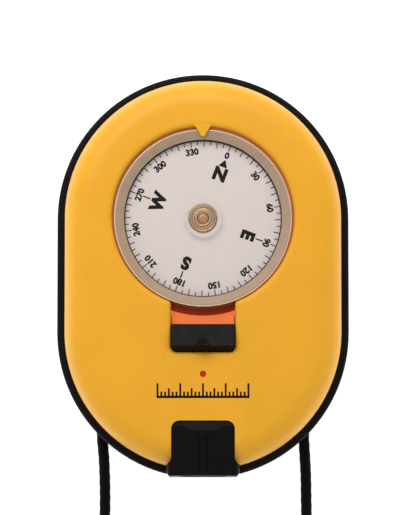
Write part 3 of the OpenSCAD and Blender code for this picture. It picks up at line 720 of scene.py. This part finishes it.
# %% [markdown]
# ## The pointer over the capsule's edge
# A yellow tooth reaches over the rim of the capsule and marks the sighting line against the dial. On
# the real cover it is one with the shell. It is easier to shape on its own: sections that follow one
# another from the cover to the tip, each a soft-cornered block. Its root lies inside the cover's lip.

# %% Shape the pointer
pointer_back = opening_r + 2.2
pointer_tip = capsule_r - 2.0
pointer_foot = capsule_top + 0.15
root_half, tip_half = 3.2, 0.55
# The tip starts to round off at this share of the pointer's length
tip_start = 0.88
tip_share = 1 - tip_start


def soft_block(turn, half_width, low, high, squareness=0.45):
    """Section of a soft-cornered block: x is the half width times the cosine and z the half height
    times the sine, each raised to the squareness with its sign kept."""
    c, s = np.cos(turn), np.sin(turn)
    x = half_width * np.sign(c) * np.abs(c) ** squareness
    z = (low + high) / 2 + (high - low) / 2 * np.sign(s) * np.abs(s) ** squareness
    return x, z


round_tip = tip_start + tip_share * np.sin(np.linspace(0.2, np.pi / 2 - 0.05, 8))
u = np.concatenate([np.linspace(0, tip_start, 12), round_tip])[:, None]
block_turn = np.linspace(0, 2 * np.pi, 40, endpoint=False)[None, :]
taper = np.sqrt(1 - np.clip((u - tip_start) / tip_share, 0, 1) ** 2)
half_width = (root_half * (1 - u) ** 1.3 + tip_half) * (0.25 + 0.75 * taper)
pointer_x, pointer_z = soft_block(block_turn, half_width, pointer_foot, top_z - 0.02 - 0.25 * u)
pointer_y = capsule_y + pointer_back - (pointer_back - pointer_tip) * u
pointer_grid = np.stack(np.broadcast_arrays(pointer_x, pointer_y, pointer_z), axis=-1)
pointer = soften(grid_piece("pointer", pointer_grid), 50)
settle(pointer, "case", yellow_plastic)

# %% [markdown]
# ## The capsule
# The capsule is a clear cup with a clear lid, filled with damping liquid. Its rim is what catches the
# eye: inside the lid a warm grey mask slopes down to the card and hides the card's conical skirt, and
# a thin cream ring at the lid's edge is a painted highlight, the shine of the clear rounded edge. All
# of it was turned or moulded round, so it is turned here too: a profile carried around the upright
# axis of the capsule.

# %% Turn the capsule's lid, mask and edge
capsule_centre = (0.0, capsule_y)
lid_z = capsule_top - 1.2
cup_inner = capsule_r - 0.95
plug_r = cup_inner - 0.5
plug_z = lid_z - 0.7
guard_out, guard_in = 4.95, 4.1
guard_z = lid_z - 0.4
mask_in, mask_out = 20.98, capsule_r - 0.42
edge_in, edge_out = capsule_r - 0.4, capsule_r - 0.04
edge_low, edge_high = lid_z + 0.05, capsule_top - 0.12

lid_profile = rounded([
    (0, capsule_top, 0), (capsule_r, capsule_top, 0.5), (capsule_r, lid_z, 0.08), (cup_inner, lid_z, 0),
    (cup_inner, plug_z, 0.08), (plug_r, plug_z, 0.08), (plug_r, lid_z, 0), (0, lid_z, 0)
])
guard_profile = rounded([
    (guard_out, lid_z, 0), (guard_out, guard_z, 0.15), (guard_in, guard_z, 0.15), (guard_in, lid_z, 0)
])
mask_profile = rounded([
    (mask_in, lid_z + 0.03, 0.02), (mask_in, lid_z + 0.08, 0.02), (22.95, lid_z + 0.92, 0.3),
    (mask_out, lid_z + 0.94, 0.05), (mask_out, lid_z + 0.03, 0.02)
])
edge_profile = rounded([
    (edge_in, edge_low, 0.05), (edge_in, edge_high, 0.15),
    (edge_out, edge_high, 0.3), (edge_out, edge_low, 0.05)
])
lid = soften(turned("capsule_lid", lid_profile, capsule_centre), 30)
guard = soften(turned("guard_ring", guard_profile, capsule_centre), 30)
mask = soften(turned("rim_mask", mask_profile, capsule_centre), 30)
# The cream ring at the lid's edge is a painted highlight.
lid_edge_highlight = soften(turned("lid_edge_highlight", edge_profile, capsule_centre), 30)
settle(lid, "case", clear_acrylic, ["capsule_dome"])
# The guard ring's pale colour is a painted highlight.
settle(guard, "case", pale_acrylic_painted_highlight)
settle(mask, "case", ring_taupe)
settle(lid_edge_highlight, "case", cream_edge_painted_highlight)

# %% [markdown]
# The light ring under the cover has a thin wall that stands up between the capsule and the cover. It
# shows as an orange line, wide at the far side, where the opening lies a little forward, and thin at
# the near side. Its inside follows the capsule's circle and its outside the opening's, so it is a
# crescent. It dips where the slot for the sighting block begins. Its deeper orange is painted shade,
# the darkness of the narrow gap between the capsule and the cover.

# %% Stand the light ring's wall in the gap
wall_turn = np.linspace(0, 2 * np.pi, 240, endpoint=False)
wall_low = collar_foot + 0.05
wall_ease = 0.6
past_slot = np.abs(capsule_r * np.cos(wall_turn)) - slot_half
at_slot = np.clip(1 - past_slot / wall_ease, 0, 1) * (np.sin(wall_turn) < 0)
wall_high = (1 - at_slot) * (capsule_top - 0.75) + at_slot * (wall_low + 0.15)


def wall_row(radius, centre_y, height):
    """One ring of points at a radius around a centre, at a height that may change along it."""
    height = np.broadcast_to(height, wall_turn.shape)
    return np.stack([radius * np.cos(wall_turn), centre_y + radius * np.sin(wall_turn), height], axis=1)


wall_in = capsule_r + 0.02
wall_out = opening_r - 0.02
light_wall_rows = np.array([
    wall_row(wall_in, capsule_y, wall_low), wall_row(wall_in, capsule_y, wall_high),
    wall_row(wall_out, opening_y, wall_high + 0.12), wall_row(wall_out, opening_y, wall_low)
])
light_wall = soften(grid_piece("light_wall", light_wall_rows, rows_wrap=True), 40)
# The wall's deeper orange is painted shade.
settle(light_wall, "case", orange_painted_shade)

# %% [markdown]
# ## The card
# The card is a white dish that turns on the needle: a flat face with the dial, and a conical skirt
# that carries the fine scale read through the eyepiece. Its edge is softened as thin moulded plastic
# is. The hub is turned brass in steps, with two fine grooves, and holds an amber bearing jewel.

# %% Turn the card and its hub
card_face_r = 20.95
card_low_r = card_high[0]
card_under = card_face_z - 0.5
tube_r = 1.95
card_profile = rounded([
    (tube_r, card_face_z, 0), (card_face_r, card_face_z, 0.25), (card_low_r, card_low[2], 0.1),
    (card_low_r - 0.4, card_low[2], 0.1), (card_face_r - 0.45, card_under, 0.1), (tube_r, card_under, 0)
])
card = soften(turned("dial_card", card_profile, capsule_centre), 30)
settle(card, "card", card_white, ["compass_card"])

hub_r = box_mm("card_hub")[1][0]
flange_z = card_face_z + 0.5
step_z = card_face_z + 0.9
hub_profile = rounded([
    (0.9, card_face_z - 1.6, 0), (tube_r - 0.05, card_face_z - 1.6, 0.1), (tube_r - 0.05, card_face_z, 0),
    (hub_r, card_face_z, 0.05), (hub_r, flange_z, 0.2), (3.2, flange_z, 0.1), (3.1, flange_z - 0.16, 0.06),
    (2.8, flange_z - 0.16, 0.06), (2.7, flange_z, 0.1), (2.42, flange_z, 0.08), (2.3, step_z, 0.2),
    (1.75, step_z, 0.08), (1.65, step_z - 0.14, 0.05), (1.45, step_z - 0.14, 0.05), (1.35, step_z, 0.06),
    (1.2, step_z, 0.05), (1.2, card_face_z + 0.3, 0), (0.9, card_face_z + 0.3, 0)
])
hub = soften(turned("brass_hub", hub_profile, capsule_centre, 128), 40)
settle(hub, "card", hub_brass, ["card_hub"])

jewel_profile = rounded([
    (0, step_z + 0.16, 0), (0.62, step_z + 0.16, 0.3), (1.15, step_z - 0.02, 0.15),
    (1.19, card_face_z + 0.32, 0), (0.6, card_face_z + 0.32, 0), (0.05, card_face_z + 0.75, 0),
    (0, card_face_z + 0.76, 0)
])
jewel = soften(turned("amber_bearing", jewel_profile, capsule_centre, 96), 40)
settle(jewel, "card", amber_jewel, ["hub_jewel"])

# %% [markdown]
# ## The dial
# Printing is a film a few hundredths of a millimetre thick. Every mark is built flat around the
# centre of its print, then turned to its bearing and set on the face. A letter is a text curve that
# becomes a mesh, and is scaled so that it has the height it is asked for.

# %% Draw flat marks and letters
ink_depth = 0.04


class Ink:
    """Collects flat marks of one colour, so that each print becomes one mesh."""

    def __init__(self):
        self.points, self.faces, self.count = [], [], 0

    def add(self, xy, z, faces, turn=0.0):
        """Adds points and their faces, turned clockwise by the bearing in degrees."""
        angle = -math.radians(turn)
        spin = np.array([[math.cos(angle), math.sin(angle)], [-math.sin(angle), math.cos(angle)]])
        flat = np.asarray(xy, float) @ spin
        self.points.append(np.concatenate([flat, np.asarray(z, float)[:, None]], axis=1))
        self.faces += [[v + self.count for v in face] for face in faces]
        self.count += len(flat)

    def shape(self, outline, **place):
        """Adds a flat outline as a film: its two faces and a strip of quads between them."""
        n = len(outline)
        xy = np.concatenate([outline, outline])
        z = np.repeat([0.0, ink_depth], n)
        sides = [[i, (i + 1) % n, n + (i + 1) % n, n + i] for i in range(n)]
        self.add(xy, z, [list(range(n))[::-1], list(range(n, 2 * n))] + sides, **place)

    def bar(self, x, y0, y1, width, **place):
        """Adds a straight mark from y0 to y1."""
        half = width / 2
        self.shape([[x - half, y0], [x + half, y0], [x + half, y1], [x - half, y1]], **place)

    def letters(self, text, height, middle, weight=0.0, **place):
        """Adds letters whose capitals have the given height, with their middle at (0, middle)."""
        curve = bpy.data.curves.new("letters", "FONT")
        curve.body = text
        curve.align_x = "CENTER"
        curve.extrude = ink_depth / 2
        curve.offset = weight
        curve.resolution_u = 4
        drawn = bpy.data.objects.new("letters", curve)
        bpy.context.scene.collection.objects.link(drawn)
        bpy.context.view_layer.update()
        shaped = drawn.evaluated_get(bpy.context.evaluated_depsgraph_get())
        mesh = bpy.data.meshes.new_from_object(shaped)
        bpy.data.objects.remove(drawn)
        corners = np.empty(len(mesh.vertices) * 3)
        mesh.vertices.foreach_get("co", corners)
        corners = corners.reshape(-1, 3)
        low, high = corners[:, :2].min(0), corners[:, :2].max(0)
        scale = height / (high[1] - low[1])
        xy = (corners[:, :2] - (low + high) / 2) * scale + [0, middle]
        faces = [list(face.vertices) for face in mesh.polygons]
        self.add(xy, np.where(corners[:, 2] > 0, ink_depth, 0.0), faces, **place)

    def print_on(self, name, centre, z):
        """Makes the marks one mesh, in place on a face at height z."""
        points = np.concatenate(self.points) + [*centre, z]
        return fill_mesh(name, points, self.faces)


print("marks are", ink_depth, "mm thick")

# %% [markdown]
# The dial is printed in one pass of black ink, so it is one piece: a thin circle, a tick every five
# degrees, a number every thirty, and the four cardinal letters with a mark beside each. Bearings run
# clockwise from the north mark, which stands 20.8 degrees clockwise of the sighting line at rest.

# %% Print the dial
north = 20.8
line_r = 20.78
line_half = 0.11
line_steps = 180
tick_w, short_tick, long_tick = 0.23, 1.05, 1.6
number_r, number_h = 18.05, 1.85
letter_r, letter_h = 12.75, 3.75
mark_in, mark_out, mark_w = 15.0, 17.0, 0.34

dial = Ink()
line_turn = np.linspace(0, 2 * np.pi, line_steps, endpoint=False)
line_xy = np.stack([np.cos(line_turn), np.sin(line_turn)], axis=1)
line_in, line_out = line_r - line_half, line_r + line_half
line_points = np.concatenate([line_xy * r for r in (line_in, line_out, line_out, line_in)])
line_z = np.repeat([0, 0, ink_depth, ink_depth], line_steps)
dial.add(line_points, line_z, grid_quads(4, line_steps, True).tolist())
for bearing in range(0, 360, 5):
    tick = long_tick if bearing % 10 == 0 else short_tick
    dial.bar(0, line_r - tick, line_r, tick_w, turn=bearing + north)
for bearing in range(0, 360, 30):
    dial.letters(str(bearing), number_h, number_r, weight=0.05, turn=bearing + north)
for bearing, letter in ((0, "N"), (90, "E"), (180, "S"), (270, "W")):
    dial.letters(letter, letter_h, letter_r, weight=0.06, turn=bearing + north)
    if bearing:
        dial.bar(0, mark_in, mark_out, mark_w, turn=bearing + north)
dial.shape([[-1.2, 14.8], [1.2, 14.8], [0, 16.85]], turn=north)
dial_print = dial.print_on("dial_print", capsule_centre, card_face_z - ink_depth / 4)
settle(dial_print, "card", black_ink)

# %% [markdown]
# The fine scale runs around the skirt with a line for each degree, longer every fifth and longest
# every tenth. It is what the eyepiece sees. Each line is a thin raised bar that leans with the skirt.

# %% Print the fine scale on the skirt
skirt_slope = (card_low_r - card_face_r) / (card_face_z - card_low[2])
bar_top = 2.6
bar_half = 0.055
bar_lift = 0.03
degree = np.arange(360)
bar_end = np.where(degree % 10 == 0, 5.2, np.where(degree % 5 == 0, 4.4, 3.7))
bar_turn = np.radians(90 - degree - north)[:, None]
corner_depth = np.stack([0 * bar_end + bar_top, bar_end, bar_end, 0 * bar_end + bar_top], axis=1)
corner_side = np.array([-1, -1, 1, 1]) * bar_half
bar_points = []
for lift in (-bar_lift, bar_lift):
    radius = card_face_r + skirt_slope * corner_depth + lift
    x = radius * np.cos(bar_turn) - corner_side * np.sin(bar_turn)
    y = radius * np.sin(bar_turn) + corner_side * np.cos(bar_turn) + capsule_y
    bar_points.append(np.stack([x, y, card_face_z - corner_depth], axis=-1))
bar_points = np.concatenate(bar_points, axis=1)
bar_faces = np.array([[0, 1, 2, 3], [7, 6, 5, 4], [0, 4, 5, 1], [1, 5, 6, 2], [2, 6, 7, 3], [3, 7, 4, 0]])
scale_faces = (bar_faces[None] + 8 * degree[:, None, None]).reshape(-1, 4)
skirt_scale = fill_mesh("skirt_scale", bar_points.reshape(-1, 3), scale_faces.tolist())
settle(skirt_scale, "card", black_ink)

# %% [markdown]
# ## Softened black parts
# The lower shell, the sighting block and the eyepiece hood keep the exact shape that the model gives
# them, but no moulded edge is sharp. A copy of each is made: its loose triangles are merged, flat
# ones join into whole faces, and a small bevel rounds every edge that turns sharply. Weighted normals
# keep the large faces flat beside it. The bevel stays within the part, so nothing grows.

# %% Soften copies of the black parts


def softened(name, node, width, angle=30):
    """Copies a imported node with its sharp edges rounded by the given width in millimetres."""
    mesh = nodes[node].data.copy()
    mesh.name = name
    sheet = bmesh.new()
    sheet.from_mesh(mesh)
    bmesh.ops.remove_doubles(sheet, verts=sheet.verts, dist=2e-6)
    bmesh.ops.dissolve_limit(sheet, angle_limit=math.radians(0.4), verts=sheet.verts, edges=sheet.edges)
    sheet.to_mesh(mesh)
    sheet.free()
    piece = bpy.data.objects.new(name, mesh)
    bpy.context.scene.collection.objects.link(piece)
    bevel = piece.modifiers.new("soft_edges", "BEVEL")
    bevel.width = width * MM
    bevel.segments = 3
    bevel.limit_method = "ANGLE"
    bevel.angle_limit = math.radians(angle)
    bevel.miter_outer = "MITER_ARC"
    bevel.use_clamp_overlap = True
    soften(piece, 40)
    flats = piece.modifiers.new("flat_faces", "WEIGHTED_NORMAL")
    flats.keep_sharp = True
    return piece


black_parts = (
    ("black_case", "lower_shell", 0.2, black_plastic),
    ("sighting_block", "sight_block", 0.2, hood_plastic),
    ("eyepiece", "eyepiece_hood", 0.3, hood_plastic),
)
for piece_name, node, width, material in black_parts:
    settle(softened(piece_name, node, width), "case", material, [node])

# %% [markdown]
# A soft rubber lip fills the narrow gap beside each side of the hood's foot, so no light or dirt comes
# through. It is a soft-cornered block carried along the case's edge.

# %% Fill the gap beside the hood's foot
seal_half = 0.2
seal_low, seal_high = 5.5, 10.2
seal_rows, seal_columns = 9, block_turn.size
seal_size = seal_rows * seal_columns
seal_y = np.linspace(hood_low[1] + 0.9, notch_step - 0.1, seal_rows)[:, None]
seal_points, seal_faces = [], []
for first, side in ((0, -1), (seal_size, 1)):
    seal_x, seal_z = soft_block(block_turn, seal_half, seal_low, seal_high)
    seal_x = seal_x + side * (hood_high[0] + seal_half / 2)
    seal_grid = np.stack(np.broadcast_arrays(seal_x, seal_y, seal_z), axis=-1)
    seal_points.append(seal_grid.reshape(-1, 3))
    seal_faces += (grid_quads(seal_rows, seal_columns, False) + first).tolist()
    seal_faces += [list(range(first, first + seal_columns))]
    seal_faces += [list(range(first + seal_size - seal_columns, first + seal_size))]
foot_seal = soften(fill_mesh("foot_seal", np.concatenate(seal_points), seal_faces), 40)
settle(foot_seal, "case", seal_rubber)

# %% [markdown]
# ## The band around the coil
# The spare cord is held by a woven hook-and-loop band. It is carried around the coil's outline: the
# outline is a rectangle with round corners, and the section that goes around it is a thin strip with
# fine ribs across and a rounded selvedge at each side.

# %% Wrap the band around the coil
band_t = 0.33
band_gap = 0.02
band_half = box_mm("coil_tie")[1][0] - 1.0
band_steps = 240
rib_steps = 5
rib_depth = 0.05
selvedge_share = 0.12
selvedge_drop = 0.12
section_r = cord_d / 2
coil_in = coil_out_r - coil_turns * cord_d - section_r
coil_out = coil_out_r + section_r


def band_outline(grow, corner_steps=12):
    """Outline of the coil's section, grown outwards: four straight sides and four quarter circles
    around the corner centres, as (distance from the coil's centre, height)."""
    far, near = coil_out - section_r, coil_in + section_r
    high, low = coil_high[2] - section_r, tie_t + section_r
    rows = []
    for cx, cz, last in ((far, high, 90), (near, high, 180), (near, low, 270), (far, low, 360)):
        angle = np.radians(np.linspace(last - 90, last, corner_steps))
        r = section_r + grow
        rows.append(np.stack([cx + r * np.cos(angle), cz + r * np.sin(angle)], axis=1))
    closed = np.concatenate(rows + [rows[0][:1]])
    s = np.concatenate([[0], np.cumsum(np.linalg.norm(np.diff(closed, axis=0), axis=1))])
    at = np.linspace(0, s[-1], band_steps, endpoint=False)
    return np.stack([np.interp(at, s, closed[:, 0]), np.interp(at, s, closed[:, 1])], axis=1)


def band_row(share, outline):
    """Stands an outline at a share of the band's half width, as a row of points."""
    x = np.full(band_steps, share * band_half)
    return np.stack([x, coil_centre[1] - outline[:, 0], outline[:, 1]], axis=1)


across_band = np.linspace(-1, 1, 25)
to_weave = np.clip((1 - np.abs(across_band)) / selvedge_share, 0, 1)
selvedge = selvedge_drop * (1 - to_weave)
rib = rib_depth * (0.5 + 0.5 * np.cos(np.arange(band_steps) * 2 * np.pi / rib_steps))[:, None]
inner_line = band_outline(band_gap)
outer_line = band_outline(band_t)
outward = (outer_line - inner_line) / np.linalg.norm(outer_line - inner_line, axis=1, keepdims=True)
band_rows = []
for share, edge in zip(across_band, selvedge):
    band_rows.append(band_row(share, outer_line - outward * (edge + rib * (edge == 0))))
for share in across_band[::-1]:
    band_rows.append(band_row(share, inner_line))
band = soften(grid_piece("coil_band", np.array(band_rows), rows_wrap=True), 50)
settle(band, "case", tie_black, ["coil_tie"])

# %% [markdown]
# ## Print on the cover
# The cover carries a small red dot on the sighting line and a millimetre scale, which is handy beside
# a rock sample. Both are plain generic marks.

# %% Print the cover's marks
scale_y, scale_half = -33.2, 12
scale_tick_w = 0.5
dot_y, dot_r = -26.8, 0.85
print_z = top_z - ink_depth / 2

cover_scale = Ink()
cover_scale.bar(0, 0, 0.6, 2 * scale_half + scale_tick_w)
for mm in range(-scale_half, scale_half + 1):
    tick = 3.9 if mm % 6 == 0 else 2.6 if mm % 3 == 0 else 1.7
    cover_scale.bar(mm, 0.2, tick, scale_tick_w)
ruler = cover_scale.print_on("cover_scale", (0, scale_y), print_z)
settle(ruler, "case", black_ink)

red_dot = Ink()
dot_turn = np.linspace(0, 2 * np.pi, 40, endpoint=False)
red_dot.shape(dot_r * np.stack([np.cos(dot_turn), np.sin(dot_turn)], axis=1))
dot = red_dot.print_on("sight_dot", (0, dot_y), print_z)
settle(dot, "case", red_ink)

# %% [markdown]
# ## The end

# %% Finish


print("the visual pieces are built")
